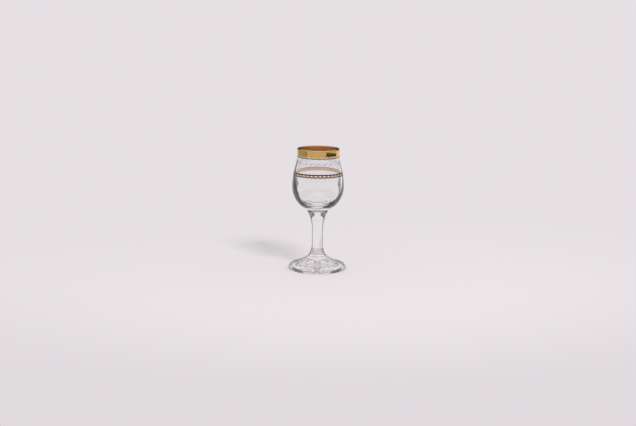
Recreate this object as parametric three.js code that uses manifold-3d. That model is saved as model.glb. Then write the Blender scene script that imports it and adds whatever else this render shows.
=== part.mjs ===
// Stemmed vodka glass: a tulip bowl, a solid drawn stem and a pressed foot, with two fired gold bands.
// Millimetres, +Z up. The origin is the middle of the standing plane, and -Y is the front.

import * as THREE from 'three';
import { mergeVertices } from 'three/addons/utils/BufferGeometryUtils.js';
import Module from 'manifold-3d';

const wasm = await Module();
wasm.setup();

// Foot
const FOOT_RADIUS = 26.0;
const FOOT_HEIGHT = 14.4; // standing plane to the joint with the stem
const FOOT_EDGE_LEVEL = 1.2; // height of the widest line
const FOOT_CORNER_WIDTH = 1.0; // rounding between the edge and the standing ring
const FOOT_SHOULDER_WIDTH = 5.0; // rounding between the edge and the sloping top
const FOOT_SHOULDER_HEIGHT = 6.6;
const FOOT_SHOULDER_SLOPE = 0.27; // rise over run where the rounding meets the sloping top
const FOOT_EDGE_FULLNESS = 3.0; // how far the edge climbs before it turns in
const FOOT_SHOULDER_FULLNESS = 2.6; // how far the rounding runs level with the sloping top
const FOOT_SWEEP = 4.6; // how far the sloping top runs on before it turns up
const FOOT_TURN_UP = 3.4; // how far the top runs in line with the stem
const REST_RING_WIDTH = 3.0; // flat ring that the glass stands on
const RECESS_WALL_WIDTH = 1.2;
const RECESS_HEIGHT = 1.2; // edge of the hollow underside above the standing plane
const DOME_RISE = 5.0; // middle of the hollow underside above its edge
const PETAL_COUNT = 12;
const PETAL_INNER_RADIUS = 5.0;
const PETAL_MARGIN = 1.0; // plain glass between the petals and the recess wall
const PETAL_DEPTH = 3.2; // pressed above the hollow
const PETAL_OVERLAP = 1.6; // how far a petal reaches past the ridge to its neighbour

// Stem
const STEM_LENGTH = 40.77;
const STEM_RADIUS = 4.9;
const STEM_BASE_RADIUS = 7.0; // joint with the foot
const STEM_BASE_FLARE = 8.1; // height of the flare above the foot
const STEM_BASE_LEAN = 0.47; // run over rise where stem and foot meet
const STEM_BASE_RUN = 1.9; // how far the flare follows that lean
const STEM_BASE_EASE = 3.5; // how far the flare runs in line with the rod
const STEM_TOP_RADIUS = 11.4; // joint with the bowl
const STEM_TOP_FLARE = 20.67; // height of the flare below the bowl
const STEM_NECK_RADIUS = 9.55; // where the flare ends and the fillet to the bowl starts
const STEM_NECK_DROP = 1.5; // joint with the bowl down to the neck
const STEM_FILLET_RUN = 0.7; // how far the fillet follows the flare and the bowl
const STEM_TOP_LEAN = 0.51; // run over rise at the neck
const STEM_TOP_RUN = 5.9; // how far the flare follows that lean
const STEM_TOP_EASE = 8.5; // how far the flare runs in line with the rod

// Bowl
const BELLY_RADIUS = 23.3;
const BELLY_WALL = 2.6;
const SHOULDER_RISE = 25.5; // widest line to the foot of the throat
const SHOULDER_FULLNESS = 12.5; // how far the belly climbs before it leans in
const THROAT_FULLNESS = 3.0; // how far the throat runs down before it leans out
const THROAT_RADIUS = 18.9;
const THROAT_RISE = 8.8; // foot of the throat to the top of the lip
const RIM_RADIUS = 19.0;
const RIM_WALL = 1.6;
const BASE_THICKNESS = 6.5; // glass between the joint and the floor of the cavity
const FLOOR_FILLET = 9.0; // rounding between the floor and the wall of the cavity

// Fired gold
const FILM_THICKNESS = 0.15;
const FILM_SEAT_GAP = 0.05;
const LOBE_COUNT = 36; // scallops and eyelets round each band
const RIM_BAND_HEIGHT = 7.25; // top of the lip to the notches between the scallops
const RIM_LOBE_DROP = 0.6;
const RIM_EYELET_RISE = 0.75; // notches to the middle of the eyelets
const RIM_EYELET_HEIGHT = 0.9;
const RIM_EYELET_POST = 1.1; // gold between neighbouring eyelets
const LIP_TURN_IN = 1.0; // gold carried over the lip and down the inside
const WAIST_BAND_RISE = 10.8; // widest line to the notches between the scallops
const WAIST_BAND_HEIGHT = 2.7;
const WAIST_LOBE_DROP = 0.85;
const WAIST_EYELET_RISE = 0.95; // notches to the middle of the eyelets
const WAIST_EYELET_HEIGHT = 1.55;
const WAIST_EYELET_POST = 0.5; // gold between neighbouring eyelets

// Facets
const BOWL_SIDES = 48;
const STEM_SIDES = 32;
const FOOT_SIDES = 48;
const CORNER_STEPS = 2;
const EDGE_STEPS = 4;
const FLARE_STEPS = 5;
const BELLY_STEPS = 6;
const SHOULDER_STEPS = 5;
const LIP_STEPS = 4;
const STEPS_PER_LOBE = 3;
const EYELET_SIDES = 6;
const DOME_STEPS = 4;
const SAME_POINT = 1e-4;
const HALVINGS = 40; // search steps for the bowl's radius at a height

// Levels that follow from the sizes above
const bowlJointLevel = FOOT_HEIGHT + STEM_LENGTH;
const bellyLevel = bowlJointLevel + Math.sqrt(BELLY_RADIUS ** 2 - STEM_TOP_RADIUS ** 2);
const throatLevel = bellyLevel + SHOULDER_RISE;
const lipLevel = throatLevel + THROAT_RISE;
const lipRadius = RIM_WALL / 2;
const lipCentre = new THREE.Vector2(RIM_RADIUS - lipRadius, lipLevel - lipRadius);

const point = (radius, level) => new THREE.Vector2(radius, level);

const glass = (tint) => new THREE.MeshStandardMaterial({ color: tint, roughness: 0.03, metalness: 0 });
const gold = (tint) => new THREE.MeshStandardMaterial({ color: tint, roughness: 0.14, metalness: 1 });

// Joins curves end to end into one profile of radius and height, each in its own number of steps.
function profileOf(...runs) {
  const points = [];
  for (const [curve, steps] of runs) {
    for (const next of curve.getPoints(steps)) {
      const last = points.at(-1);
      if (!last || last.distanceTo(next) > SAME_POINT) points.push(next);
    }
  }
  return points;
}

const line = (from, to) => [new THREE.LineCurve(from, to), 1];

const bezier = (from, leave, arrive, to, steps) =>
  [new THREE.CubicBezierCurve(from, leave, arrive, to), steps];

const arc = (centre, across, up, start, end, steps) =>
  [new THREE.EllipseCurve(centre.x, centre.y, across, up, start, end, end < start), steps];

// Keeps only positions, with shared corners and without the slivers that meet on the axis.
function closedGeometry(source) {
  const bare = source.clone();
  bare.deleteAttribute('normal');
  bare.deleteAttribute('uv');
  const merged = mergeVertices(bare, SAME_POINT);
  const corners = merged.index.array;
  const kept = [];
  for (let i = 0; i < corners.length; i += 3) {
    const [a, b, c] = corners.slice(i, i + 3);
    if (a !== b && b !== c && c !== a) kept.push(a, b, c);
  }
  merged.setIndex(kept);
  merged.computeVertexNormals();
  return merged;
}

// Turns a profile about the vertical axis. It runs from the axis out, up and back to the axis.
function revolve(profile, sides) {
  return closedGeometry(new THREE.LatheGeometry(profile, sides).rotateX(Math.PI / 2));
}

// Carries a closed profile that changes with the angle once round the vertical axis.
function loftRing(profileAt, steps) {
  const positions = [];
  const indices = [];
  let count = 0;
  for (let step = 0; step < steps; step += 1) {
    const angle = (2 * Math.PI * step) / steps;
    const profile = profileAt(angle);
    count = profile.length;
    for (const corner of profile) {
      positions.push(corner.x * Math.sin(angle), -corner.x * Math.cos(angle), corner.y);
    }
    const here = step * count;
    const there = ((step + 1) % steps) * count;
    for (let i = 0; i < count; i += 1) {
      const j = (i + 1) % count;
      indices.push(here + i, there + i, here + j);
      indices.push(there + j, here + j, there + i);
    }
  }
  const ring = new THREE.BufferGeometry();
  ring.setAttribute('position', new THREE.Float32BufferAttribute(positions, 3));
  ring.setIndex(indices);
  return closedGeometry(ring);
}

function toSolid(geometry) {
  const vertProperties = new Float32Array(geometry.attributes.position.array);
  const triVerts = new Uint32Array(geometry.index.array);
  return new wasm.Manifold(new wasm.Mesh({ numProp: 3, vertProperties, triVerts }));
}

function toGeometry(solid) {
  const mesh = solid.getMesh();
  const geometry = new THREE.BufferGeometry();
  geometry.setAttribute('position', new THREE.BufferAttribute(new Float32Array(mesh.vertProperties), 3));
  geometry.setIndex(new THREE.BufferAttribute(new Uint32Array(mesh.triVerts), 1));
  geometry.computeVertexNormals();
  return geometry;
}

// Cuts copies of one tool, spaced evenly round the vertical axis, out of a body.
function cutRound(body, tool, count, firstAngle) {
  let solid = toSolid(body);
  for (let copy = 0; copy < count; copy += 1) {
    const angle = firstAngle + (2 * Math.PI * copy) / count;
    solid = solid.subtract(toSolid(closedGeometry(tool.clone().rotateZ(angle))));
  }
  return toGeometry(solid);
}

function addPiece(name, geometry, material) {
  const mesh = new THREE.Mesh(geometry, material);
  mesh.name = name;
  vodkaGlass.add(mesh);
}

// Foot: a bell-shaped top, a rounded edge, and a ring to stand on round a hollow with a pressed star.
function makeFoot() {
  const restOuter = FOOT_RADIUS - FOOT_CORNER_WIDTH;
  const restInner = restOuter - REST_RING_WIDTH;
  const recessRadius = restInner - RECESS_WALL_WIDTH;
  const shoulder = point(FOOT_RADIUS - FOOT_SHOULDER_WIDTH, FOOT_SHOULDER_HEIGHT);
  const edge = point(FOOT_RADIUS, FOOT_EDGE_LEVEL);
  const joint = point(STEM_BASE_RADIUS, FOOT_HEIGHT);
  const dome = new THREE.QuadraticBezierCurve(
    point(0, RECESS_HEIGHT + DOME_RISE),
    point(recessRadius / 2, RECESS_HEIGHT + DOME_RISE),
    point(recessRadius, RECESS_HEIGHT),
  );
  const profile = profileOf(
    [dome, DOME_STEPS],
    line(point(recessRadius, RECESS_HEIGHT), point(restInner, 0)),
    line(point(restInner, 0), point(restOuter, 0)),
    arc(point(restOuter, FOOT_EDGE_LEVEL), FOOT_CORNER_WIDTH, FOOT_EDGE_LEVEL, -Math.PI / 2, 0, CORNER_STEPS),
    bezier(
      edge,
      point(edge.x, edge.y + FOOT_EDGE_FULLNESS),
      point(shoulder.x + FOOT_SHOULDER_FULLNESS, shoulder.y - FOOT_SHOULDER_FULLNESS * FOOT_SHOULDER_SLOPE),
      shoulder,
      EDGE_STEPS,
    ),
    bezier(
      shoulder,
      point(shoulder.x - FOOT_SWEEP, shoulder.y + FOOT_SWEEP * FOOT_SHOULDER_SLOPE),
      point(joint.x + FOOT_TURN_UP * STEM_BASE_LEAN, joint.y - FOOT_TURN_UP),
      joint,
      FLARE_STEPS,
    ),
    line(joint, point(0, FOOT_HEIGHT)),
  );
  const petalOuter = recessRadius - PETAL_MARGIN;
  const petalMiddle = (PETAL_INNER_RADIUS + petalOuter) / 2;
  const petalHalfLength = (petalOuter - PETAL_INNER_RADIUS) / 2;
  const petalHalfWidth = petalMiddle * Math.tan(Math.PI / PETAL_COUNT) + PETAL_OVERLAP;
  const innerEnd = dome.getPoint(PETAL_INNER_RADIUS / recessRadius);
  const outerEnd = dome.getPoint(petalOuter / recessRadius);
  const petalSlope = (innerEnd.y - outerEnd.y) / (outerEnd.x - innerEnd.x);
  const petal = new THREE.OctahedronGeometry(1)
    .scale(petalHalfWidth, petalHalfLength, PETAL_DEPTH)
    .applyMatrix4(new THREE.Matrix4().makeShear(0, 0, 0, petalSlope, 0, 0))
    .translate(0, -petalMiddle, (innerEnd.y + outerEnd.y) / 2);
  return cutRound(revolve(profile, FOOT_SIDES), petal, PETAL_COUNT, 0);
}

// Stem: a solid rod that flares into the foot below and into the bowl above.
function makeStem() {
  const base = point(STEM_BASE_RADIUS, FOOT_HEIGHT);
  const rodStart = point(STEM_RADIUS, FOOT_HEIGHT + STEM_BASE_FLARE);
  const rodEnd = point(STEM_RADIUS, bowlJointLevel - STEM_TOP_FLARE);
  const neck = point(STEM_NECK_RADIUS, bowlJointLevel - STEM_NECK_DROP);
  const top = point(STEM_TOP_RADIUS, bowlJointLevel);
  const bowlLean = (bellyLevel - bowlJointLevel) / STEM_TOP_RADIUS;
  const profile = profileOf(
    line(point(0, FOOT_HEIGHT), base),
    bezier(
      base,
      point(base.x - STEM_BASE_RUN * STEM_BASE_LEAN, base.y + STEM_BASE_RUN),
      point(rodStart.x, rodStart.y - STEM_BASE_EASE),
      rodStart,
      EDGE_STEPS,
    ),
    line(rodStart, rodEnd),
    bezier(
      rodEnd,
      point(rodEnd.x, rodEnd.y + STEM_TOP_EASE),
      point(neck.x - STEM_TOP_RUN * STEM_TOP_LEAN, neck.y - STEM_TOP_RUN),
      neck,
      FLARE_STEPS,
    ),
    bezier(
      neck,
      point(neck.x + STEM_FILLET_RUN * STEM_TOP_LEAN, neck.y + STEM_FILLET_RUN),
      point(top.x - STEM_FILLET_RUN, top.y - STEM_FILLET_RUN / bowlLean),
      top,
      CORNER_STEPS,
    ),
    line(top, point(0, bowlJointLevel)),
  );
  return revolve(profile, STEM_SIDES);
}

// Shoulder curve between the throat and the belly, from the top down, for a given wall thickness.
function shoulderCurve(throatRadius, bellyRadius) {
  return new THREE.CubicBezierCurve(
    point(throatRadius, throatLevel),
    point(throatRadius, throatLevel - THROAT_FULLNESS),
    point(bellyRadius, bellyLevel + SHOULDER_FULLNESS),
    point(bellyRadius, bellyLevel),
  );
}

const outerShoulder = shoulderCurve(THROAT_RADIUS, BELLY_RADIUS);

// Outer radius of the bowl at a height above its widest line.
function bowlRadiusAt(level) {
  if (level >= throatLevel) {
    const share = (level - throatLevel) / (lipCentre.y - throatLevel);
    return THREE.MathUtils.lerp(THROAT_RADIUS, RIM_RADIUS, Math.min(share, 1));
  }
  let above = 0;
  let below = 1;
  for (let halving = 0; halving < HALVINGS; halving += 1) {
    const middle = (above + below) / 2;
    if (outerShoulder.getPoint(middle).y > level) above = middle;
    else below = middle;
  }
  return outerShoulder.getPoint(below).x;
}

// Bowl: a round belly drawn in to a straight throat with a rounded lip, thick and flat-floored at the bottom.
function makeBowl() {
  const middle = point(0, bellyLevel);
  const jointAngle = -Math.acos(STEM_TOP_RADIUS / BELLY_RADIUS);
  const cavityRadius = BELLY_RADIUS - BELLY_WALL;
  const floorLevel = bowlJointLevel + BASE_THICKNESS;
  const filletLevel = floorLevel + FLOOR_FILLET;
  const filletReach = cavityRadius - FLOOR_FILLET;
  const filletCentre = point(Math.sqrt(filletReach ** 2 - (bellyLevel - filletLevel) ** 2), filletLevel);
  const filletAngle = -Math.acos(filletCentre.x / filletReach);
  const innerThroat = THROAT_RADIUS - RIM_WALL;
  const innerShoulder = shoulderCurve(innerThroat, cavityRadius);
  const profile = profileOf(
    line(point(0, bowlJointLevel), point(STEM_TOP_RADIUS, bowlJointLevel)),
    arc(middle, BELLY_RADIUS, BELLY_RADIUS, jointAngle, 0, BELLY_STEPS),
    bezier(outerShoulder.v3, outerShoulder.v2, outerShoulder.v1, outerShoulder.v0, SHOULDER_STEPS),
    line(outerShoulder.v0, point(RIM_RADIUS, lipCentre.y)),
    arc(lipCentre, lipRadius, lipRadius, 0, Math.PI, LIP_STEPS),
    line(point(RIM_RADIUS - RIM_WALL, lipCentre.y), innerShoulder.v0),
    [innerShoulder, SHOULDER_STEPS],
    arc(middle, cavityRadius, cavityRadius, 0, filletAngle, CORNER_STEPS),
    arc(filletCentre, FLOOR_FILLET, FLOOR_FILLET, filletAngle, -Math.PI / 2, EDGE_STEPS),
    line(point(filletCentre.x, floorLevel), point(0, floorLevel)),
  );
  return revolve(profile, BOWL_SIDES);
}

// Drop of a scalloped edge at an angle: nothing in the notches and the full drop at each tip.
function lobeDrop(angle, drop) {
  return drop * Math.abs(Math.sin((LOBE_COUNT * angle) / 2));
}

// Cuts one oval eyelet over each scallop of a gold band.
function cutEyelets(ring, level, height, post) {
  const radius = bowlRadiusAt(level);
  const pitch = (2 * Math.PI * radius) / LOBE_COUNT;
  const reach = 2 * (FILM_SEAT_GAP + FILM_THICKNESS + height);
  const eyelet = new THREE.CylinderGeometry(1, 1, reach, EYELET_SIDES)
    .scale((pitch - post) / 2, 1, height / 2)
    .translate(0, -radius, level);
  return cutRound(ring, eyelet, LOBE_COUNT, Math.PI / LOBE_COUNT);
}

// Rim gold: a film round the throat with a scalloped and pierced lower edge, carried over the lip.
function makeRimBand() {
  const notchLevel = lipLevel - RIM_BAND_HEIGHT;
  const turnInLevel = lipCentre.y - LIP_TURN_IN;
  const path = (offset, edgeLevel) => profileOf(
    line(
      point(bowlRadiusAt(edgeLevel) + offset, edgeLevel),
      point(RIM_RADIUS + offset, lipCentre.y),
    ),
    arc(lipCentre, lipRadius + offset, lipRadius + offset, 0, Math.PI, LIP_STEPS),
    line(
      point(RIM_RADIUS - RIM_WALL - offset, lipCentre.y),
      point(bowlRadiusAt(turnInLevel) - RIM_WALL - offset, turnInLevel),
    ),
  );
  const profileAt = (angle) => {
    const edgeLevel = notchLevel - lobeDrop(angle, RIM_LOBE_DROP);
    const face = path(FILM_SEAT_GAP + FILM_THICKNESS, edgeLevel);
    const seat = path(FILM_SEAT_GAP, edgeLevel);
    return [...face, ...seat.reverse()];
  };
  const ring = loftRing(profileAt, LOBE_COUNT * STEPS_PER_LOBE);
  return cutEyelets(ring, notchLevel + RIM_EYELET_RISE, RIM_EYELET_HEIGHT, RIM_EYELET_POST);
}

// Waist gold: a film round the shoulder, scalloped below and pierced by a row of oval eyelets.
function makeWaistBand() {
  const notchLevel = bellyLevel + WAIST_BAND_RISE;
  const topLevel = notchLevel + WAIST_BAND_HEIGHT;
  const at = (level, offset) => point(bowlRadiusAt(level) + offset, level);
  const profileAt = (angle) => {
    const edgeLevel = notchLevel - lobeDrop(angle, WAIST_LOBE_DROP);
    const face = FILM_SEAT_GAP + FILM_THICKNESS;
    return [
      at(edgeLevel, face),
      at(topLevel, face),
      at(topLevel, FILM_SEAT_GAP),
      at(edgeLevel, FILM_SEAT_GAP),
    ];
  };
  const ring = loftRing(profileAt, LOBE_COUNT * STEPS_PER_LOBE);
  return cutEyelets(ring, notchLevel + WAIST_EYELET_RISE, WAIST_EYELET_HEIGHT, WAIST_EYELET_POST);
}

const vodkaGlass = new THREE.Group();
addPiece('foot', makeFoot(), glass(0xe3e0e2));
addPiece('stem', makeStem(), glass(0xe6e3e5));
addPiece('bowl', makeBowl(), glass(0xdfdcde));
addPiece('rim_gold_band', makeRimBand(), gold(0xc39b5f));
addPiece('waist_gold_band', makeWaistBand(), gold(0xb99670));

export default vodkaGlass;
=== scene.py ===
# Stemmed vodka glass with two fired gold bands: surfaces, finishes, light and camera around the frame.
import math

import bpy
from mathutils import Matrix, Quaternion, Vector


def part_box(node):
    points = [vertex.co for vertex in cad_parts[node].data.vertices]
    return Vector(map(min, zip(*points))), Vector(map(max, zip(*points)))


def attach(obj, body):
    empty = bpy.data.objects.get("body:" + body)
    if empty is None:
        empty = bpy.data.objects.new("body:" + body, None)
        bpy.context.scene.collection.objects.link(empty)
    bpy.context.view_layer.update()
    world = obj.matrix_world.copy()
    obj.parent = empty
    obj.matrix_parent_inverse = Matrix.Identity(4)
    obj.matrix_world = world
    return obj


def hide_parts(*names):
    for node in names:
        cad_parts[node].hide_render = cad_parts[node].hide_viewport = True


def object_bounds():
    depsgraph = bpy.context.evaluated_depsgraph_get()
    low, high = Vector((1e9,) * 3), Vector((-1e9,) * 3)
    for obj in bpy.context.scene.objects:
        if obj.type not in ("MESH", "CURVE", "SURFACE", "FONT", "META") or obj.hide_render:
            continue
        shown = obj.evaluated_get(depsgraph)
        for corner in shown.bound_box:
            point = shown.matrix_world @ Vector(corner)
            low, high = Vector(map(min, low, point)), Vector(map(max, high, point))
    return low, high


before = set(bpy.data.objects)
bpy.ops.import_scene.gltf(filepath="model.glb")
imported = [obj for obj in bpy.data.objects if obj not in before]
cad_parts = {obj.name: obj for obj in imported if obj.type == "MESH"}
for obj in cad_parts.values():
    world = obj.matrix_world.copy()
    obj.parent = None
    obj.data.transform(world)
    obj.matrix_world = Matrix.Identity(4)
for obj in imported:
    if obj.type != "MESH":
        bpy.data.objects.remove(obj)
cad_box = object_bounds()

MM = 0.001

# Sizes read from the frame
foot_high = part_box("foot")[1]
bowl_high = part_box("bowl")[1]
rim_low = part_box("rim_gold_band")[0]
waist_low, waist_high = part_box("waist_gold_band")
FOOT_RADIUS = foot_high.x
FOOT_HEIGHT = foot_high.z
BELLY_RADIUS = bowl_high.x
LIP_LEVEL = bowl_high.z

# Foot, as in the solids
FOOT_EDGE_LEVEL = 1.2 * MM
FOOT_CORNER_WIDTH = 1.0 * MM
FOOT_SHOULDER_WIDTH = 5.0 * MM
FOOT_SHOULDER_HEIGHT = 6.6 * MM
FOOT_SHOULDER_SLOPE = 0.27
FOOT_EDGE_FULLNESS = 3.0 * MM
FOOT_SHOULDER_FULLNESS = 2.6 * MM
FOOT_SWEEP = 4.6 * MM
FOOT_TURN_UP = 3.4 * MM
REST_RING_WIDTH = 3.0 * MM
RECESS_WALL_WIDTH = 1.2 * MM
RECESS_HEIGHT = 1.2 * MM
PETAL_COUNT = 12
PETAL_INNER_RADIUS = 5.0 * MM
PETAL_MARGIN = 1.0 * MM
PETAL_DEPTH = 3.2 * MM
PETAL_OVERLAP = 1.6 * MM
DOME_RISE = 5.0 * MM
DOME_STEPS = 84

# Stem, as in the solids
STEM_LENGTH = 40.77 * MM
STEM_RADIUS = 4.9 * MM
STEM_BASE_RADIUS = 7.0 * MM
STEM_BASE_FLARE = 8.1 * MM
STEM_BASE_LEAN = 0.47
STEM_BASE_RUN = 1.9 * MM
STEM_BASE_EASE = 3.5 * MM
STEM_TOP_RADIUS = 11.4 * MM
STEM_TOP_FLARE = 20.67 * MM
STEM_NECK_RADIUS = 9.55 * MM
STEM_NECK_DROP = 1.5 * MM
STEM_FILLET_RUN = 0.7 * MM
STEM_TOP_LEAN = 0.51
STEM_TOP_RUN = 5.9 * MM
STEM_TOP_EASE = 8.5 * MM

# Bowl, as in the solids
STEM_TOP = FOOT_HEIGHT + STEM_LENGTH
BELLY_WALL = 2.6 * MM
SHOULDER_RISE = 25.5 * MM
SHOULDER_FULLNESS = 12.5 * MM
THROAT_FULLNESS = 3.0 * MM
THROAT_RADIUS = 18.9 * MM
RIM_RADIUS = 19.0 * MM
RIM_WALL = 1.6 * MM
BASE_THICKNESS = 6.5 * MM
FLOOR_FILLET = 9.0 * MM
BELLY_LEVEL = STEM_TOP + math.sqrt(BELLY_RADIUS**2 - STEM_TOP_RADIUS**2)
THROAT_LEVEL = BELLY_LEVEL + SHOULDER_RISE
LIP_RADIUS = RIM_WALL / 2
LIP_CENTRE = (RIM_RADIUS - LIP_RADIUS, LIP_LEVEL - LIP_RADIUS)

# Fired gold: a film sunk a little into the glass, so that no air shows between them
FILM_PROUD = 0.10 * MM
FILM_SUNK = 0.04 * MM
LOBE_COUNT = 36
LOBE_PITCH = 2 * math.pi / LOBE_COUNT
RIM_LOBE_DROP = 0.6 * MM
RIM_EYELET_RISE = 0.75 * MM
RIM_EYELET_HEIGHT = 0.9 * MM
RIM_EYELET_POST = 1.1 * MM
RIM_ROW_HEIGHT = 1.5 * MM
LIP_TURN_IN = 1.0 * MM
CREST_FIRST = math.radians(60)
CREST_LAST = math.radians(125)
WAIST_LOBE_DROP = 0.85 * MM
WAIST_EYELET_RISE = 0.95 * MM
WAIST_EYELET_HEIGHT = 1.55 * MM
WAIST_EYELET_POST = 0.5 * MM
CORD_HEIGHT = 0.008 * MM

# Frosted frieze between the gold bands
FRIEZE_REPEATS = 20
FRIEZE_GAP = 1.0 * MM
FRIEZE_HEIGHT = 6.6 * MM
FROST_PROUD = 0.015 * MM
FROST_THICKNESS = 0.012 * MM
SCROLL_REACH = 0.27
SCROLL_OFFSET = 0.55 * MM
SCROLL_TURNS = 1.6
SCROLL_WIND = 0.86
SCROLL_WIDTH = 0.42 * MM
SCROLL_TAPER = 0.18 * MM
LEAF_MARGIN = 1.2 * MM
LEAF_TURNS = (-0.9, 0.0, 0.9)
LEAF_LENGTH = 1.15 * MM
LEAF_WIDTH = 0.46 * MM
LEAF_TIP_WIDTH = 0.02 * MM
LEAF_BEND = 0.7
LEAF_FULLNESS = 0.7
VINE_SWING = 0.9 * MM
VINE_WIDTH = 0.3 * MM

# Glass: what one surface lets through, the height over which the painted edge shade fades out, and its
# ripple
CLEAR = 0.985
BELLY_CLEAR = 0.966
CLEAR_FADE = 2.5 * MM
GLASS_INDEX = 1.52
EDGE_BLEND = 0.5
EDGE_BLUE = 1.03
RIPPLE_SCALE = 90
RIPPLE_DETAIL = 1.5
RIPPLE_HEIGHT = 0.25 * MM
RIPPLE_STRENGTH = 0.12

# Gold: cloudy wear, and brush strokes drawn out round the axis
WEAR_SCALE = 420
WEAR_DETAIL = 4
WEAR_SPREAD = (-0.35, 0.75)
BRUSH_SCALE = 130
BRUSH_DETAIL = 3
BRUSH_STRETCH = (1, 1, 14)
BRUSH_STRENGTH = 0.35

# Frost: its grain, and the share of light that it scatters through
FROST_SCALE = 2600
FROST_DETAIL = 2
FROST_THROUGH = 0.5

# Fineness of the meshes
SIDES = 240
FOOT_SIDES = 288
SHARP_ANGLE = math.radians(16)
AXIS_RADIUS = 1e-9
POINTS_PER_METRE = 1e8
REST_STEPS = 4
CORNER_STEPS = 12
FOOT_EDGE_STEPS = 28
FOOT_SWEEP_STEPS = 48
STEM_BASE_STEPS = 32
STEM_ROD_STEPS = 12
STEM_FLARE_STEPS = 48
STEM_NECK_STEPS = 16
BELLY_STEPS = 64
SHOULDER_STEPS = 48
SHOULDER_TRACE_STEPS = 400
THROAT_STEPS = 8
LIP_STEPS = 16
CAVITY_STEPS = 48
FILLET_STEPS = 24
FLOOR_STEPS = 12
RIM_WALL_STEPS = 12
LIP_SIDE_STEPS = 6
CREST_STEPS = 8
SCROLL_STEPS = 30
LEAF_STEPS = 10
VINE_STEPS = 40
LUSTRE_SIDES = 20


def bezier(start, leave, arrive, end, steps):
    """Points of a cubic curve, as radius and height."""
    points = []
    for step in range(steps + 1):
        t = step / steps
        weights = ((1 - t) ** 3, 3 * t * (1 - t) ** 2, 3 * t * t * (1 - t), t**3)
        corners = (start, leave, arrive, end)
        radius = sum(w * c[0] for w, c in zip(weights, corners))
        level = sum(w * c[1] for w, c in zip(weights, corners))
        points.append((radius, level))
    return points


def arc(centre, across, up, first, last, steps):
    """Points of an elliptical arc, as radius and height."""
    angles = [first + (last - first) * step / steps for step in range(steps + 1)]
    return [(centre[0] + across * math.cos(a), centre[1] + up * math.sin(a)) for a in angles]


def line(start, end, steps=1):
    """Points of a straight run, as radius and height."""
    shares = [step / steps for step in range(steps + 1)]
    return [tuple(s + (e - s) * t for s, e in zip(start, end)) for t in shares]


def add_object(name, vertices, faces, materials, face_materials=None):
    """A smooth mesh object with creases at its sharp edges."""
    mesh = bpy.data.meshes.new(name)
    mesh.from_pydata(vertices, [], faces)
    for material in materials:
        mesh.materials.append(material)
    if face_materials:
        mesh.polygons.foreach_set("material_index", face_materials)
    mesh.polygons.foreach_set("use_smooth", [True] * len(mesh.polygons))
    mesh.set_sharp_from_angle(angle=SHARP_ANGLE)
    mesh.update()
    piece = bpy.data.objects.new(name, mesh)
    bpy.context.scene.collection.objects.link(piece)
    return piece


def no_relief(radius, level, angle):
    """A plain turned surface."""
    return 0.0


def revolve(name, runs, sides, materials, relief=no_relief):
    """Turns runs of (points, material index) about the axis, each starting where the last one ends.

    The whole profile goes from the axis out, up and back to the axis. relief lifts a point by its angle.
    """
    profile = [runs[0][0][0]]
    bands = []
    for points, material in runs:
        profile.extend(points[1:])
        bands.extend([material] * (len(points) - 1))
    vertices = []
    rings = []
    for radius, level in profile:
        count = sides if radius > AXIS_RADIUS else 1
        rings.append(list(range(len(vertices), len(vertices) + count)))
        for side in range(count):
            angle = 2 * math.pi * side / sides
            height = level + relief(radius, level, angle)
            vertices.append((radius * math.sin(angle), -radius * math.cos(angle), height))
    faces = []
    face_materials = []
    for lower, upper, material in zip(rings, rings[1:], bands):
        for side in range(sides):
            after = (side + 1) % sides
            if len(lower) == 1:
                face = (lower[0], upper[after], upper[side])
            elif len(upper) == 1:
                face = (lower[side], lower[after], upper[0])
            else:
                face = (lower[side], lower[after], upper[after], upper[side])
            faces.append(face)
            face_materials.append(material)
    return add_object(name, vertices, faces, materials, face_materials)


def thicken(piece, thickness):
    """Closes a sheet into a film of this thickness behind it, with the second material on its back."""
    film = piece.modifiers.new("film", "SOLIDIFY")
    film.thickness = thickness
    film.offset = -1
    film.use_even_offset = True
    film.material_offset = 1
    graph = bpy.context.evaluated_depsgraph_get()
    closed = bpy.data.meshes.new_from_object(piece.evaluated_get(graph))
    piece.modifiers.clear()
    piece.data = closed
    return piece


def new_material(name):
    """An empty node material, its node tree and its output node."""
    material = bpy.data.materials.new(name)
    material.use_nodes = True
    tree = material.node_tree
    tree.nodes.clear()
    return material, tree, tree.nodes.new("ShaderNodeOutputMaterial")


def noise(tree, scale, detail, stretch=(1, 1, 1)):
    """Soft noise over the object's own coordinates."""
    coordinates = tree.nodes.new("ShaderNodeTexCoord")
    mapping = tree.nodes.new("ShaderNodeMapping")
    mapping.inputs["Scale"].default_value = stretch
    texture = tree.nodes.new("ShaderNodeTexNoise")
    texture.inputs["Scale"].default_value = scale
    texture.inputs["Detail"].default_value = detail
    tree.links.new(coordinates.outputs["Object"], mapping.inputs["Vector"])
    tree.links.new(mapping.outputs["Vector"], texture.inputs["Vector"])
    return texture.outputs["Fac"]


def remap(tree, value, low, high):
    """A 0 to 1 value spread between low and high."""
    spread = tree.nodes.new("ShaderNodeMapRange")
    spread.inputs["To Min"].default_value = low
    spread.inputs["To Max"].default_value = high
    tree.links.new(value, spread.inputs["Value"])
    return spread.outputs["Result"]


def bump(tree, height, distance, strength):
    """A normal tilted by a height."""
    node = tree.nodes.new("ShaderNodeBump")
    node.inputs["Strength"].default_value = strength
    node.inputs["Distance"].default_value = distance
    tree.links.new(height, node.inputs["Height"])
    return node.outputs["Normal"]


def smooth(tree, value, low, high):
    """0 below low and 1 above high, with a soft step between."""
    step = tree.nodes.new("ShaderNodeMapRange")
    step.interpolation_type = "SMOOTHSTEP"
    step.inputs["From Min"].default_value = low
    step.inputs["From Max"].default_value = high
    tree.links.new(value, step.inputs["Value"])
    return step.outputs["Result"]


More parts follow.
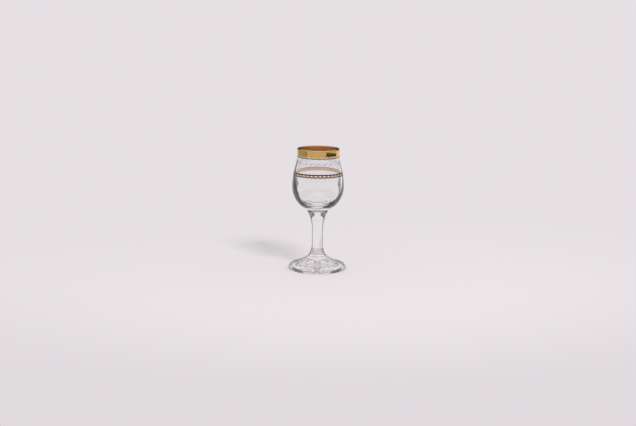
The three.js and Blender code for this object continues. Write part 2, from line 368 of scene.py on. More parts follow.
def feed(tree, socket, value):
    """Links a socket to another socket's value, or sets it to a plain number or colour."""
    if isinstance(value, bpy.types.NodeSocket):
        tree.links.new(value, socket)
    else:
        socket.default_value = value


def math_node(tree, operation, *values):
    """The result of one sum, of sockets and plain numbers."""
    node = tree.nodes.new("ShaderNodeMath")
    node.operation = operation
    for socket, value in zip(node.inputs, values):
        feed(tree, socket, value)
    return node.outputs["Value"]


def mix_colours(tree, factor, first, second):
    """The first colour where the factor is 0, and the second where it is 1."""
    node = tree.nodes.new("ShaderNodeMix")
    node.data_type = "RGBA"
    feed(tree, node.inputs["Factor"], factor)
    feed(tree, node.inputs["A"], first)
    feed(tree, node.inputs["B"], second)
    return node.outputs["Result"]


def mix_shaders(tree, factor, first, second):
    """The first shader where the factor is 0, and the second where it is 1."""
    node = tree.nodes.new("ShaderNodeMixShader")
    feed(tree, node.inputs["Fac"], factor)
    tree.links.new(first, node.inputs[1])
    tree.links.new(second, node.inputs[2])
    return node.outputs["Shader"]


def clear_glass(
    name,
    facing,
    shade,
    shadow,
    widest_shade_level=0.0,
    thinning=0.0,
    tilt=0.0,
    clear_level=-CLEAR_FADE,
    thick=CLEAR,
):
    """Fire-polished soda-lime glass with a faint ripple and painted shade on its edges. Lamps shine through
    it.

    The base colour paints the edges darker, towards the shade, over the facing range: painted shade. It is
    widest at the level given for it, which may be tilted, narrows above and below it by the thinning and
    ends at the clear level. Shadow is what lamps send through one surface, and thick is what the glass below
    the waist lets through, so that it is greyer there.
    """
    material, tree, output = new_material(name)
    glass = tree.nodes.new("ShaderNodeBsdfPrincipled")
    edge = tree.nodes.new("ShaderNodeLayerWeight")
    edge.inputs["Blend"].default_value = EDGE_BLEND
    place = tree.nodes.new("ShaderNodeTexCoord")
    split = tree.nodes.new("ShaderNodeSeparateXYZ")
    tree.links.new(place.outputs["Object"], split.inputs["Vector"])
    # Painted shade: the edge darkens as the surface turns away, most at one level, leaned across the glass
    # by the tilt
    lean = math_node(tree, "MULTIPLY", split.outputs["X"], tilt)
    height = math_node(tree, "SUBTRACT", split.outputs["Z"], widest_shade_level)
    away = math_node(tree, "ABSOLUTE", math_node(tree, "ADD", height, lean))
    narrowing = math_node(tree, "MULTIPLY", away, thinning)
    narrowed = math_node(tree, "SUBTRACT", edge.outputs["Facing"], narrowing)
    ended = smooth(tree, split.outputs["Z"], clear_level, clear_level + CLEAR_FADE)
    dark = math_node(tree, "MULTIPLY", smooth(tree, narrowed, *facing), ended)
    # Below the waist band the glass lets through less, so it is greyer
    thin = smooth(tree, split.outputs["Z"], waist_low.z, waist_high.z)
    clear = remap(tree, thin, thick, CLEAR)
    tint = mix_colours(tree, dark, clear, (shade, shade, shade * EDGE_BLUE, 1))
    tree.links.new(tint, glass.inputs["Base Color"])
    glass.inputs["Transmission Weight"].default_value = 1
    glass.inputs["IOR"].default_value = GLASS_INDEX
    glass.inputs["Roughness"].default_value = 0.0
    ripple = noise(tree, RIPPLE_SCALE, RIPPLE_DETAIL)
    tree.links.new(bump(tree, ripple, RIPPLE_HEIGHT, RIPPLE_STRENGTH), glass.inputs["Normal"])
    through = tree.nodes.new("ShaderNodeBsdfTransparent")
    through.inputs["Color"].default_value = (shadow, shadow, shadow, 1)
    path = tree.nodes.new("ShaderNodeLightPath")
    mix = mix_shaders(tree, path.outputs["Is Shadow Ray"], glass.outputs["BSDF"], through.outputs["BSDF"])
    tree.links.new(mix, output.inputs["Surface"])
    return material


def fused_joint():
    """The place where two pieces of glass melted together: nothing to see there."""
    material, tree, output = new_material("fused_joint")
    through = tree.nodes.new("ShaderNodeBsdfTransparent")
    tree.links.new(through.outputs["BSDF"], output.inputs["Surface"])
    return material


def metal(name, colour, worn, roughness, grain):
    """A metal film with cloudy wear between two colours, and brush strokes with a range of roughness."""
    material, tree, output = new_material(name)
    film = tree.nodes.new("ShaderNodeBsdfPrincipled")
    film.inputs["Metallic"].default_value = 1
    wear = remap(tree, noise(tree, WEAR_SCALE, WEAR_DETAIL), *WEAR_SPREAD)
    tree.links.new(mix_colours(tree, wear, (*colour, 1), (*worn, 1)), film.inputs["Base Color"])
    strokes = noise(tree, BRUSH_SCALE, BRUSH_DETAIL, BRUSH_STRETCH)
    tree.links.new(remap(tree, strokes, *roughness), film.inputs["Roughness"])
    tree.links.new(bump(tree, strokes, grain, BRUSH_STRENGTH), film.inputs["Normal"])
    tree.links.new(film.outputs["BSDF"], output.inputs["Surface"])
    return material


def frost(name, colour, cover):
    """Frosted or lustred glass: a grainy veil that scatters light and lets part of it straight through."""
    material, tree, output = new_material(name)
    through = tree.nodes.new("ShaderNodeBsdfTransparent")
    front = tree.nodes.new("ShaderNodeBsdfDiffuse")
    back = tree.nodes.new("ShaderNodeBsdfTranslucent")
    front.inputs["Color"].default_value = (*colour, 1)
    back.inputs["Color"].default_value = (*colour, 1)
    scatter = mix_shaders(tree, FROST_THROUGH, front.outputs["BSDF"], back.outputs["BSDF"])
    grain = remap(tree, noise(tree, FROST_SCALE, FROST_DETAIL), *cover)
    tree.links.new(mix_shaders(tree, grain, through.outputs["BSDF"], scatter), output.inputs["Surface"])
    return material


REST_OUTER = FOOT_RADIUS - FOOT_CORNER_WIDTH
REST_INNER = REST_OUTER - REST_RING_WIDTH
RECESS_RADIUS = REST_INNER - RECESS_WALL_WIDTH
PETAL_PITCH = 2 * math.pi / PETAL_COUNT


def dome_level(radius):
    """Height of the plain hollow underside."""
    return RECESS_HEIGHT + DOME_RISE * (1 - (radius / RECESS_RADIUS) ** 2)


def rosette(radius, level, angle):
    """Lift of the pressed star above the hollow underside: four flat facets for each petal."""
    if radius >= RECESS_RADIUS or level > dome_level(0):
        return 0.0
    outer = RECESS_RADIUS - PETAL_MARGIN
    middle = (PETAL_INNER_RADIUS + outer) / 2
    half_length = (outer - PETAL_INNER_RADIUS) / 2
    half_width = middle * math.tan(PETAL_PITCH / 2) + PETAL_OVERLAP
    inner_level, outer_level = dome_level(PETAL_INNER_RADIUS), dome_level(outer)
    off = (angle + PETAL_PITCH / 2) % PETAL_PITCH - PETAL_PITCH / 2
    along = (radius * math.cos(off) - middle) / half_length
    across = radius * math.sin(off) / half_width
    base = (inner_level + outer_level) / 2 + along * (outer_level - inner_level) / 2
    facet = base + PETAL_DEPTH * (1 - abs(along) - abs(across))
    return max(0, facet - level) if abs(along) + abs(across) < 1 else 0.0


def make_foot(glass, joint):
    """Bell-shaped foot with a rounded edge, a standing ring and the recessed rosette."""
    dome_radii = [RECESS_RADIUS * step / DOME_STEPS for step in range(DOME_STEPS + 1)]
    edge = (FOOT_RADIUS, FOOT_EDGE_LEVEL)
    shoulder = (FOOT_RADIUS - FOOT_SHOULDER_WIDTH, FOOT_SHOULDER_HEIGHT)
    top = (STEM_BASE_RADIUS, FOOT_HEIGHT)
    corner_centre = (REST_OUTER, FOOT_EDGE_LEVEL)
    shoulder_drop = FOOT_SHOULDER_FULLNESS * FOOT_SHOULDER_SLOPE
    runs = [
        ([(radius, dome_level(radius)) for radius in dome_radii], 0),
        (line((RECESS_RADIUS, RECESS_HEIGHT), (REST_INNER, 0), REST_STEPS), 0),
        (line((REST_INNER, 0), (REST_OUTER, 0), REST_STEPS), 0),
        (arc(corner_centre, FOOT_CORNER_WIDTH, FOOT_EDGE_LEVEL, -math.pi / 2, 0, CORNER_STEPS), 0),
        (
            bezier(
                edge,
                (edge[0], edge[1] + FOOT_EDGE_FULLNESS),
                (shoulder[0] + FOOT_SHOULDER_FULLNESS, shoulder[1] - shoulder_drop),
                shoulder,
                FOOT_EDGE_STEPS,
            ),
            0,
        ),
        (
            bezier(
                shoulder,
                (shoulder[0] - FOOT_SWEEP, shoulder[1] + FOOT_SWEEP * FOOT_SHOULDER_SLOPE),
                (top[0] + FOOT_TURN_UP * STEM_BASE_LEAN, top[1] - FOOT_TURN_UP),
                top,
                FOOT_SWEEP_STEPS,
            ),
            0,
        ),
        (line(top, (0, FOOT_HEIGHT)), 1),
    ]
    return revolve("foot_glass", runs, FOOT_SIDES, [glass, joint], rosette)


def make_stem(glass, joint):
    """Solid drawn stem, flared into the foot and the bowl."""
    base = (STEM_BASE_RADIUS, FOOT_HEIGHT)
    rod_start = (STEM_RADIUS, FOOT_HEIGHT + STEM_BASE_FLARE)
    rod_end = (STEM_RADIUS, STEM_TOP - STEM_TOP_FLARE)
    neck = (STEM_NECK_RADIUS, STEM_TOP - STEM_NECK_DROP)
    top = (STEM_TOP_RADIUS, STEM_TOP)
    bowl_lean = (BELLY_LEVEL - STEM_TOP) / STEM_TOP_RADIUS
    runs = [
        (line((0, FOOT_HEIGHT), base), 1),
        (
            bezier(
                base,
                (base[0] - STEM_BASE_RUN * STEM_BASE_LEAN, base[1] + STEM_BASE_RUN),
                (rod_start[0], rod_start[1] - STEM_BASE_EASE),
                rod_start,
                STEM_BASE_STEPS,
            ),
            0,
        ),
        (line(rod_start, rod_end, STEM_ROD_STEPS), 0),
        (
            bezier(
                rod_end,
                (rod_end[0], rod_end[1] + STEM_TOP_EASE),
                (neck[0] - STEM_TOP_RUN * STEM_TOP_LEAN, neck[1] - STEM_TOP_RUN),
                neck,
                STEM_FLARE_STEPS,
            ),
            0,
        ),
        (
            bezier(
                neck,
                (neck[0] + STEM_FILLET_RUN * STEM_TOP_LEAN, neck[1] + STEM_FILLET_RUN),
                (top[0] - STEM_FILLET_RUN, top[1] - STEM_FILLET_RUN / bowl_lean),
                top,
                STEM_NECK_STEPS,
            ),
            0,
        ),
        (line(top, (0, STEM_TOP)), 1),
    ]
    return revolve("stem_glass", runs, SIDES, [glass, joint])


def shoulder_corners(throat_radius, belly_radius):
    """Control points of the shoulder curve, from the throat down to the belly."""
    return (
        (throat_radius, THROAT_LEVEL),
        (throat_radius, THROAT_LEVEL - THROAT_FULLNESS),
        (belly_radius, BELLY_LEVEL + SHOULDER_FULLNESS),
        (belly_radius, BELLY_LEVEL),
    )


SHOULDER_TRACE = bezier(*shoulder_corners(THROAT_RADIUS, BELLY_RADIUS), SHOULDER_TRACE_STEPS)


def bowl_radius(level):
    """Outer radius of the bowl at a height above its widest line."""
    if level >= THROAT_LEVEL:
        share = min((level - THROAT_LEVEL) / (LIP_CENTRE[1] - THROAT_LEVEL), 1)
        return THROAT_RADIUS + (RIM_RADIUS - THROAT_RADIUS) * share
    for upper, lower in zip(SHOULDER_TRACE, SHOULDER_TRACE[1:]):
        if lower[1] <= level:
            share = (upper[1] - level) / (upper[1] - lower[1])
            return upper[0] + (lower[0] - upper[0]) * share
    return BELLY_RADIUS


def make_bowl(glass, joint, cavity):
    """Round-bellied bowl with a thick bottom, a straight throat and a rounded lip."""
    middle = (0, BELLY_LEVEL)
    joint_angle = -math.acos(STEM_TOP_RADIUS / BELLY_RADIUS)
    cavity_radius = BELLY_RADIUS - BELLY_WALL
    floor = STEM_TOP + BASE_THICKNESS
    fillet_level = floor + FLOOR_FILLET
    fillet_radius = math.sqrt((cavity_radius - FLOOR_FILLET) ** 2 - (BELLY_LEVEL - fillet_level) ** 2)
    fillet_angle = -math.acos(fillet_radius / (cavity_radius - FLOOR_FILLET))
    fillet_centre = (fillet_radius, fillet_level)
    outer = bezier(*shoulder_corners(THROAT_RADIUS, BELLY_RADIUS), SHOULDER_STEPS)
    inner = bezier(*shoulder_corners(THROAT_RADIUS - RIM_WALL, cavity_radius), SHOULDER_STEPS)
    runs = [
        (line((0, STEM_TOP), (STEM_TOP_RADIUS, STEM_TOP)), 1),
        (arc(middle, BELLY_RADIUS, BELLY_RADIUS, joint_angle, 0, BELLY_STEPS), 0),
        (outer[::-1], 0),
        (line(outer[0], (RIM_RADIUS, LIP_CENTRE[1]), THROAT_STEPS), 0),
        (arc(LIP_CENTRE, LIP_RADIUS, LIP_RADIUS, 0, math.pi, LIP_STEPS), 0),
        (line((RIM_RADIUS - RIM_WALL, LIP_CENTRE[1]), inner[0], THROAT_STEPS), 2),
        (inner, 2),
        (arc(middle, cavity_radius, cavity_radius, 0, fillet_angle, CAVITY_STEPS), 2),
        (arc(fillet_centre, FLOOR_FILLET, FLOOR_FILLET, fillet_angle, -math.pi / 2, FILLET_STEPS), 2),
        (line((fillet_radius, floor), (0, floor), FLOOR_STEPS), 2),
    ]
    return revolve("bowl_glass", runs, SIDES, [glass, joint, cavity])


class Sheet:
    """Points and faces of an open sheet on the outside of the bowl, with equal points merged."""

    def __init__(self):
        self.vertices = []
        self.faces = []
        self.finishes = []
        self.seen = {}

    def point(self, angle, radius, level):
        """The number of the point at this angle, radius and height."""
        place = (radius * math.sin(angle), -radius * math.cos(angle), level)
        key = tuple(round(c * POINTS_PER_METRE) for c in place)
        if key not in self.seen:
            self.seen[key] = len(self.vertices)
            self.vertices.append(place)
        return self.seen[key]

    def rows(self, rows, finishes):
        """Faces between closed rows of points, with one finish for each column."""
        for lower, upper in zip(rows, rows[1:]):
            for i, finish in enumerate(finishes):
                j = (i + 1) % len(lower)
                self.faces.append((lower[i], lower[j], upper[j], upper[i]))
                self.finishes.append(finish)


STEPS_ALONG = 10
STEPS_UP = 4
CORD_STEPS = 6
BRIGHT, PAINTED_DARK, INSIDE = 0, 2, 4


def eyelet_row(sheet, top, notch, drop, eye_level, eye_height, post, below):
    """A row of oval eyelets in gold, level above and scalloped below, with a finish for its lower edge."""
    half_height = eye_height / 2
    half_width = 0.5 - post / (LOBE_PITCH * bowl_radius(eye_level)) / 2
    outline = []
    for step in range(STEPS_ALONG):
        x = step / STEPS_ALONG - 0.5
        outline.append((x, notch - drop * math.cos(math.pi * x)))
    outline += [(0.5, notch + (top - notch) * step / STEPS_UP) for step in range(STEPS_UP)]
    outline += [(0.5 - step / STEPS_ALONG, top) for step in range(STEPS_ALONG)]
    outline += [(-0.5, top + (notch - top) * step / STEPS_UP) for step in range(STEPS_UP)]
    finishes = [below] * STEPS_ALONG + [BRIGHT] * (len(outline) - STEPS_ALONG)
    for lobe in range(LOBE_COUNT):
        rings = []
        for step in range(CORD_STEPS + 1):
            share = step / CORD_STEPS
            ring = []
            for x, level in outline:
                turn = math.atan2((level - eye_level) / half_height, x / half_width)
                eye = (half_width * math.cos(turn), eye_level + half_height * math.sin(turn))
                across = eye[0] + (x - eye[0]) * share
                up = eye[1] + (level - eye[1]) * share
                radius = bowl_radius(up) + FILM_PROUD + CORD_HEIGHT * math.sin(math.pi * share)
                ring.append(sheet.point((lobe + 0.5 + across) * LOBE_PITCH, radius, up))
            rings.append(ring)
        sheet.rows(rings[::-1], finishes)


def make_rim_band(gold, reverse, painted_dark_gold, inside_gold):
    """Gold round the throat and over the lip, with a row of eyelets along its scalloped lower edge.

    A near-black metal paints shade along that lower edge and a dark reflection along the crest of the lip.
    """
    notch = rim_low.z + RIM_LOBE_DROP
    row_top = notch + RIM_ROW_HEIGHT
    sheet = Sheet()
    eye = (notch + RIM_EYELET_RISE, RIM_EYELET_HEIGHT, RIM_EYELET_POST)
    # The lower edge of the eyelet row is near-black metal: painted shade
    eyelet_row(sheet, row_top, notch, RIM_LOBE_DROP, *eye, PAINTED_DARK)
    wall_start = (bowl_radius(row_top) + FILM_PROUD, row_top)
    wall = line(wall_start, (RIM_RADIUS + FILM_PROUD, LIP_CENTRE[1]), RIM_WALL_STEPS)
    lip = LIP_RADIUS + FILM_PROUD
    over = arc(LIP_CENTRE, lip, lip, 0, CREST_FIRST, LIP_SIDE_STEPS)
    crest = arc(LIP_CENTRE, lip, lip, CREST_FIRST, CREST_LAST, CREST_STEPS)
    down = arc(LIP_CENTRE, lip, lip, CREST_LAST, math.pi, LIP_SIDE_STEPS)
    turn_in = LIP_CENTRE[1] - LIP_TURN_IN
    inside = (bowl_radius(turn_in) - RIM_WALL - FILM_PROUD, turn_in)
    columns = LOBE_COUNT * STEPS_ALONG
    angles = [2 * math.pi * column / columns for column in range(columns)]
    # Over the lip: bright gold outside, near-black metal along the crest as a painted dark reflection, and a
    # darker, redder gold on the inner half as painted shade
    for profile, finish in ((wall + over[1:], BRIGHT), (crest, PAINTED_DARK), (down + [inside], INSIDE)):
        rows = []
        for radius, level in profile:
            rows.append([sheet.point(angle, radius, level) for angle in angles])
        sheet.rows(rows, [finish] * columns)
    finishes = [gold, reverse, painted_dark_gold, painted_dark_gold, inside_gold, reverse]
    piece = add_object("rim_gold", sheet.vertices, sheet.faces, finishes, sheet.finishes)
    return thicken(piece, FILM_PROUD + FILM_SUNK)


def make_waist_band(gold, reverse):
    """Gold round the shoulder: a level line over a row of oval eyelets, scalloped below."""
    notch = waist_low.z + WAIST_LOBE_DROP
    sheet = Sheet()
    eye = (notch + WAIST_EYELET_RISE, WAIST_EYELET_HEIGHT, WAIST_EYELET_POST)
    eyelet_row(sheet, waist_high.z, notch, WAIST_LOBE_DROP, *eye, BRIGHT)
    piece = add_object("waist_gold", sheet.vertices, sheet.faces, [gold, reverse])
    return thicken(piece, FILM_PROUD + FILM_SUNK)


def stroke(points, widths):
    """The two edges of a drawn stroke, from its middle line and its width at each point."""
    left, right = [], []
    for i, (x, y) in enumerate(points):
        before = points[max(i - 1, 0)]
        after = points[min(i + 1, len(points) - 1)]
        dx, dy = after[0] - before[0], after[1] - before[1]
        length = math.hypot(dx, dy)
        nx, ny = -dy / length * widths[i] / 2, dx / length * widths[i] / 2
        left.append((x + nx, y + ny))
        right.append((x - nx, y - ny))
    return left, right


def scroll(centre, reach, first):
    """A volute that starts at an angle and winds in from its reach to its eye."""
    points = []
    widths = []
    for step in range(SCROLL_STEPS + 1):
        t = step / SCROLL_STEPS
        angle = first - 2 * math.pi * SCROLL_TURNS * t
        radius = reach * (1 - SCROLL_WIND * t)
        points.append((centre[0] + radius * math.cos(angle), centre[1] + radius * math.sin(angle)))
        widths.append(SCROLL_WIDTH - SCROLL_TAPER * t)
    return stroke(points, widths)


def leaf(start, angle):
    """A drop-shaped leaf that bends as it grows."""
    points = []
    widths = []
    for step in range(LEAF_STEPS + 1):
        t = step / LEAF_STEPS
        bend = angle + LEAF_BEND * t
        reach = LEAF_LENGTH * t
        points.append((start[0] + reach * math.cos(bend), start[1] + reach * math.sin(bend)))
        widths.append(max(LEAF_WIDTH * math.sin(math.pi * t**LEAF_FULLNESS), LEAF_TIP_WIDTH))
    return stroke(points, widths)


def frieze_strokes(repeat):
    """Strokes of one repeat of a running scroll, about the middle of its own width and height."""
    strokes = []
    for side in (-1, 1):
        across = side * repeat / 4
        outward = -side * math.pi / 2
        strokes.append(scroll((across, side * SCROLL_OFFSET), repeat * SCROLL_REACH, outward))
        tip = (across, -side * (FRIEZE_HEIGHT / 2 - LEAF_MARGIN))
        for turn in LEAF_TURNS:
            strokes.append(leaf(tip, outward + turn))
    vine = []
    for step in range(VINE_STEPS + 1):
        x = repeat * (step / VINE_STEPS - 0.5)
        vine.append((x, VINE_SWING * math.sin(2 * math.pi * x / repeat)))
    strokes.append(stroke(vine, [VINE_WIDTH] * len(vine)))
    return strokes


def make_frieze(material):
    """Frosted running scroll on the shoulder, laid on the glass."""
    top = rim_low.z - FRIEZE_GAP
    middle = top - FRIEZE_HEIGHT / 2
    girth = bowl_radius(middle)
    repeat = 2 * math.pi * girth / FRIEZE_REPEATS
    strokes = frieze_strokes(repeat)
    vertices = []
    faces = []

    def lay(x, y, turn):
        level = middle + y
        angle = turn + x / girth
        radius = bowl_radius(level) + FROST_PROUD
        vertices.append((radius * math.sin(angle), -radius * math.cos(angle), level))

    for copy in range(FRIEZE_REPEATS):
        turn = 2 * math.pi * copy / FRIEZE_REPEATS
        for left, right in strokes:
            first = len(vertices)
            for a, b in zip(left, right):
                lay(*a, turn)
                lay(*b, turn)
            for i in range(len(left) - 1):
                at = first + 2 * i
                faces.append((at, at + 1, at + 3, at + 2))
    sheet = add_object("frosted_frieze", vertices, faces, [material, material])
    return thicken(sheet, FROST_THICKNESS)


def make_lustre(material, reverse):
    """A thin gold lustre over the glass in the eyelets of the waist band."""
    level = waist_low.z + WAIST_LOBE_DROP + WAIST_EYELET_RISE
    half_width = (LOBE_PITCH - WAIST_EYELET_POST / bowl_radius(level)) / 2
    turns = [2 * math.pi * step / LUSTRE_SIDES for step in range(LUSTRE_SIDES)]
    sheet = Sheet()
    for lobe in range(LOBE_COUNT):
        rings = []
        for share in (1.0, 0.5):
            ring = []
            for turn in turns:
                up = level + share * WAIST_EYELET_HEIGHT / 2 * math.sin(turn)
                angle = (lobe + 0.5) * LOBE_PITCH + share * half_width * math.cos(turn)
                ring.append(sheet.point(angle, bowl_radius(up) + FROST_PROUD, up))
            rings.append(ring)
        sheet.rows(rings, [BRIGHT] * LUSTRE_SIDES)
        sheet.faces.append(tuple(rings[-1]))
    piece = add_object("waist_lustre", sheet.vertices, sheet.faces, [material, reverse])
    return thicken(piece, FROST_THICKNESS)


# Finishes
# Glass finishes with painted shade on their edges, set by facing, shade, the widest level, thinning and
# tilt; the bowl's tilt raises its painted shade towards the left side
bowl_glass = clear_glass(
    "clear_glass_bowl",
    facing=(0.34, 0.42),
    shade=0.006,
    shadow=0.93,
    widest_shade_level=66 * MM,
    thinning=12,
    tilt=0.3,
    clear_level=STEM_TOP + 1 * MM,
    thick=BELLY_CLEAR,
)
cavity_glass = clear_glass(
    "clear_glass_cavity",
    facing=(0.44, 0.52),
    shade=0.05,
    shadow=0.93,
    widest_shade_level=76 * MM,
    thinning=25,
    thick=BELLY_CLEAR,
)
stem_glass = clear_glass("clear_glass_stem", facing=(0.44, 0.54), shade=0.08, shadow=0.70)
foot_glass = clear_glass(
    "clear_glass_foot",
    facing=(0.28, 0.62),
    shade=0.20,
    shadow=0.88,
    widest_shade_level=1.5 * MM,
    thinning=60,
)
joint = fused_joint()
POLISHED_GRAIN = 0.0006 * MM
DULL_GRAIN = 0.01 * MM
gold = metal(
    "fired_gold",
    colour=(0.74, 0.48, 0.160),
    worn=(0.63, 0.38, 0.115),
    roughness=(0.02, 0.06),
    grain=POLISHED_GRAIN,
)
# Near-black metal: painted shade along the rim's scalloped edge and a painted dark reflection along the
# crest of the lip
painted_dark_gold = metal(
    "painted_dark_gold_edge",
    colour=(0.045, 0.026, 0.016),
    worn=(0.028, 0.017, 0.01),
    roughness=(0.25, 0.4),
    grain=DULL_GRAIN,
)
# A darker, redder copy of the gold for the inner half of the lip: painted shade
lip_inside = metal(
    "gold_inside_lip_painted_shade",
    colour=(0.62, 0.25, 0.09),
    worn=(0.42, 0.16, 0.05),
    roughness=(0.2, 0.35),
    grain=DULL_GRAIN,
)
# Near-black gold for the front of the waist band: a painted dark reflection of the room
waist_gold = metal(
    "painted_dark_reflection_gold",
    colour=(0.12, 0.078, 0.05),
    worn=(0.08, 0.05, 0.033),
    roughness=(0.10, 0.20),
    grain=DULL_GRAIN,
)
# The back of the rim's gold film seen through the glass: copper-brown, partly the colour of the film's back
# and partly painted shade
rim_reverse = metal(
    "rim_gold_back_and_painted_shade",
    colour=(0.60, 0.27, 0.11),
    worn=(0.42, 0.18, 0.07),
    roughness=(0.25, 0.45),
    grain=DULL_GRAIN,
)
waist_reverse = metal(
    "waist_gold_inside",
    colour=(0.85, 0.48, 0.18),
    worn=(0.68, 0.36, 0.12),
    roughness=(0.25, 0.45),
    grain=DULL_GRAIN,
)
veil = frost("frosted_ornament", colour=(0.62, 0.61, 0.61), cover=(0.25, 0.95))
lustre = frost("gold_lustre", colour=(0.90, 0.72, 0.60), cover=(0.10, 0.35))
lustre_reverse = frost("gold_lustre_inside", colour=(0.85, 0.50, 0.22), cover=(0.35, 0.70))

# Pieces
pieces = [
    (make_foot(foot_glass, joint), "foot", "clear_glass"),
    (make_stem(stem_glass, joint), "stem", "clear_glass"),
    (make_bowl(bowl_glass, joint, cavity_glass), "bowl", "clear_glass"),
    (make_rim_band(gold, rim_reverse, painted_dark_gold, lip_inside), "rim_gold_band", "fired_gold"),
    (make_waist_band(waist_gold, waist_reverse), "waist_gold_band", "fired_gold"),
]
for piece, node, slot in pieces:
    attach(piece, "root")
    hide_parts(node)
finishes = [
    (make_frieze(veil), "clear_glass"),
    (make_lustre(lustre, lustre_reverse), "fired_gold"),
]
for finish, slot in finishes:
    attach(finish, "root")

# Floor: lit by the lamp near the glass, even further out, with painted shade that makes it a little dimmer
# in front
PALE = (0.79, 0.745, 0.772)
FLOOR_RADIUS = 6.0
FLOOR_SIDES = 96
NEAR_FLOOR = 0.12
FAR_FLOOR = 0.4
FRONT_REACH = 0.4
FRONT_DIM = 0.945
FRONT_ENDS = (0.6, 1.8)


def seen_straight(tree):
    """1 for what the camera sees directly or through the glass."""
    path = tree.nodes.new("ShaderNodeLightPath")
    return math_node(tree, "MAXIMUM", path.outputs["Is Camera Ray"], path.outputs["Is Transmission Ray"])


def table_top():
    """Pale matte paper. Far from the glass it is evenly lit, as the camera, glass and gold see it, and
    painted shade dims it a little in front.
    """
    material, tree, output = new_material("pale_floor")
    lit = tree.nodes.new("ShaderNodeBsdfDiffuse")
    lit.inputs["Color"].default_value = (*PALE, 1)
    far = tree.nodes.new("ShaderNodeEmission")
    far.inputs["Color"].default_value = (*PALE, 1)
    geometry = tree.nodes.new("ShaderNodeNewGeometry")
    distance = tree.nodes.new("ShaderNodeVectorMath")
    distance.operation = "LENGTH"
    tree.links.new(geometry.outputs["Position"], distance.inputs[0])
    split = tree.nodes.new("ShaderNodeSeparateXYZ")
    tree.links.new(geometry.outputs["Position"], split.inputs["Vector"])
    forward = smooth(tree, math_node(tree, "MULTIPLY", split.outputs["Y"], -1), 0.0, FRONT_REACH)
    ended = smooth(tree, distance.outputs["Value"], *FRONT_ENDS)
    front = math_node(tree, "MULTIPLY", forward, math_node(tree, "SUBTRACT", 1.0, ended))
    tree.links.new(remap(tree, front, 1.0, FRONT_DIM), far.inputs["Strength"])
    path = tree.nodes.new("ShaderNodeLightPath")
    seen = math_node(tree, "SUBTRACT", 1.0, path.outputs["Is Diffuse Ray"])
    outside = smooth(tree, distance.outputs["Value"], NEAR_FLOOR, FAR_FLOOR)
    even = math_node(tree, "MULTIPLY", outside, seen)
    mix = mix_shaders(tree, even, lit.outputs["BSDF"], far.outputs["Emission"])
    tree.links.new(mix, output.inputs["Surface"])
    return material


def make_floor():
    """A round floor under the glass."""
    ring = [2 * math.pi * side / FLOOR_SIDES for side in range(FLOOR_SIDES)]
    vertices = [(FLOOR_RADIUS * math.cos(a), FLOOR_RADIUS * math.sin(a), 0) for a in ring]
    floor = add_object("floor", vertices, [tuple(range(FLOOR_SIDES))], [table_top()])


# World: the backdrop behind the glass, and greys of the room by height for what gold and glass reflect
DARK_SKY = (0.12, 0.12, 0.12)
DARK_ABOVE = (0.28, 0.36)
PALE_ABOVE = (0.80, 0.86)
DARK_ASIDE = (0.2, 0.3)
HORIZON = (0.78, 0.74, 0.76)
ROOM_GREYS = ((0.06, 0.70), (0.11, 0.05), (0.42, 0.05), (0.54, 1.2))
CEILING = (1.3, 1.3, 1.3)
FILL = (0.55, 0.55, 0.55)


def make_world():
    """A pale backdrop for the camera, a banded room for reflections and an even fill for matte surfaces."""
    world = bpy.data.worlds.new("studio")
    bpy.context.scene.world = world
    world.use_nodes = True
    tree = world.node_tree
    tree.nodes.clear()
    output = tree.nodes.new("ShaderNodeOutputWorld")
    coordinates = tree.nodes.new("ShaderNodeTexCoord")
    split = tree.nodes.new("ShaderNodeSeparateXYZ")
    tree.links.new(coordinates.outputs["Generated"], split.inputs["Vector"])
    ramp = tree.nodes.new("ShaderNodeValToRGB")
    stops = ramp.color_ramp.elements
    stops[0].color = (*HORIZON, 1)
    stops[1].color = (*CEILING, 1)
    for position, grey in ROOM_GREYS:
        stop = stops.new(position)
        stop.color = (grey, grey, grey, 1)
    tree.links.new(split.outputs["Z"], ramp.inputs["Fac"])
    room = tree.nodes.new("ShaderNodeBackground")
    tree.links.new(ramp.outputs["Color"], room.inputs["Color"])
    fill = tree.nodes.new("ShaderNodeBackground")
    fill.inputs["Color"].default_value = (*FILL, 1)
    dark_start = smooth(tree, split.outputs["Z"], *DARK_ABOVE)
    dark_end = smooth(tree, split.outputs["Z"], *PALE_ABOVE)
    belt = math_node(tree, "SUBTRACT", dark_start, dark_end)
    aside = math_node(tree, "ABSOLUTE", split.outputs["X"])
    shade = math_node(tree, "MULTIPLY", belt, smooth(tree, aside, *DARK_ASIDE))
    pale = tree.nodes.new("ShaderNodeBackground")
    tree.links.new(mix_colours(tree, shade, (*PALE, 1), (*DARK_SKY, 1)), pale.inputs["Color"])
    path = tree.nodes.new("ShaderNodeLightPath")
    scattered = path.outputs["Is Diffuse Ray"]
    around = mix_shaders(tree, scattered, room.outputs["Background"], fill.outputs["Background"])
    seen = mix_shaders(tree, seen_straight(tree), around, pale.outputs["Background"])
    tree.links.new(seen, output.inputs["Surface"])


# Lamp and reflection cards
STRIP_STEPS = 12
GLASS_MIDDLE = Vector((0, 0, (cad_box[0].z + cad_box[1].z) / 2))
GLOSSY_BOUNCES = 24
MAX_BOUNCES = 32


def make_lamp(name, power, size, azimuth, elevation, distance, aim):
    """A soft box aimed at a point. Azimuth 0 degrees is the camera's side, and 90 is its right."""
    lamp = bpy.data.lights.new(name, "AREA")
    lamp.shape = "RECTANGLE"
    lamp.size, lamp.size_y = size
    lamp.energy = power
    box = bpy.data.objects.new(name, lamp)
    turn, tilt = math.radians(azimuth), math.radians(elevation)
    back = Vector((math.sin(turn) * math.cos(tilt), -math.cos(turn) * math.cos(tilt), math.sin(tilt)))
    box.location = aim + back * distance
    box.rotation_mode = "QUATERNION"
    box.rotation_quaternion = (-back).to_track_quat("-Z", "Y")
    bpy.context.scene.collection.objects.link(box)
    return box


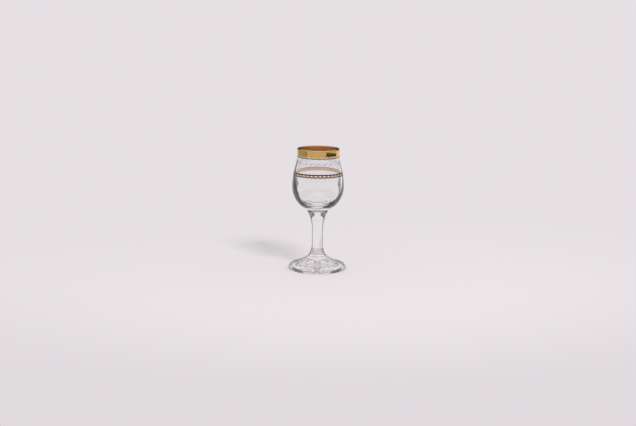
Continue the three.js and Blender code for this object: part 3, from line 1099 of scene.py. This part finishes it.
def make_card(name, grey, distance, first, last, low, high):
    """An upright strip of card, curved round the axis between two azimuths and seen only in reflections."""
    material, tree, output = new_material(name)
    shade = tree.nodes.new("ShaderNodeEmission")
    shade.inputs["Color"].default_value = (grey, grey, grey, 1)
    tree.links.new(shade.outputs["Emission"], output.inputs["Surface"])
    vertices = []
    faces = []
    for step in range(STRIP_STEPS + 1):
        turn = math.radians(first + (last - first) * step / STRIP_STEPS)
        x, y = distance * math.sin(turn), -distance * math.cos(turn)
        vertices += [(x, y, low), (x, y, high)]
    for step in range(STRIP_STEPS):
        at = 2 * step
        faces.append((at, at + 2, at + 3, at + 1))
    strip = add_object(name, vertices, faces, [material])
    strip.visible_camera = False
    strip.visible_diffuse = False
    strip.visible_shadow = False
    strip.visible_transmission = False


make_floor()
make_world()
key = make_lamp(
    "key_window",
    power=175,
    size=(1.2, 1.0),
    azimuth=26,
    elevation=41,
    distance=5.0,
    aim=GLASS_MIDDLE,
)
key.visible_transmission = False
key.visible_glossy = False
bpy.context.scene.cycles.glossy_bounces = GLOSSY_BOUNCES
bpy.context.scene.cycles.max_bounces = MAX_BOUNCES
make_card("card_right", grey=0.06, distance=0.35, first=42, last=113, low=0.0485, high=0.0561)
make_card("card_right_edge", grey=1.05, distance=0.36, first=114, last=140, low=0.0, high=0.09)
make_card("card_left", grey=0.46, distance=0.45, first=-135, last=-67, low=0.0, high=0.07)
make_card("card_left_edge", grey=0.13, distance=0.44, first=-68, last=-64, low=0.0, high=0.07)

# Camera at the photograph's place
IMAGE_WIDTH = 636
CAMERA_DISTANCE = 1.36
CAMERA_HEIGHT = 0.289
AIM_LEVEL = 51.05 * MM
AIM_ACROSS = 0.3 * MM
FOCAL_PIXELS = 1531
CAMERA_ROLL = math.radians(0.7)
camera_data = bpy.data.cameras.new("camera")
camera_data.lens = FOCAL_PIXELS / IMAGE_WIDTH * camera_data.sensor_width
camera = bpy.data.objects.new("camera", camera_data)
camera.location = (AIM_ACROSS, -CAMERA_DISTANCE, CAMERA_HEIGHT)
look = Vector((AIM_ACROSS, 0, AIM_LEVEL)) - camera.location
camera.rotation_mode = "QUATERNION"
camera.rotation_quaternion = look.to_track_quat("-Z", "Y") @ Quaternion((0, 0, 1), CAMERA_ROLL)
bpy.context.scene.collection.objects.link(camera)
bpy.context.scene.camera = camera
bpy.context.scene.view_settings.view_transform = "Standard"
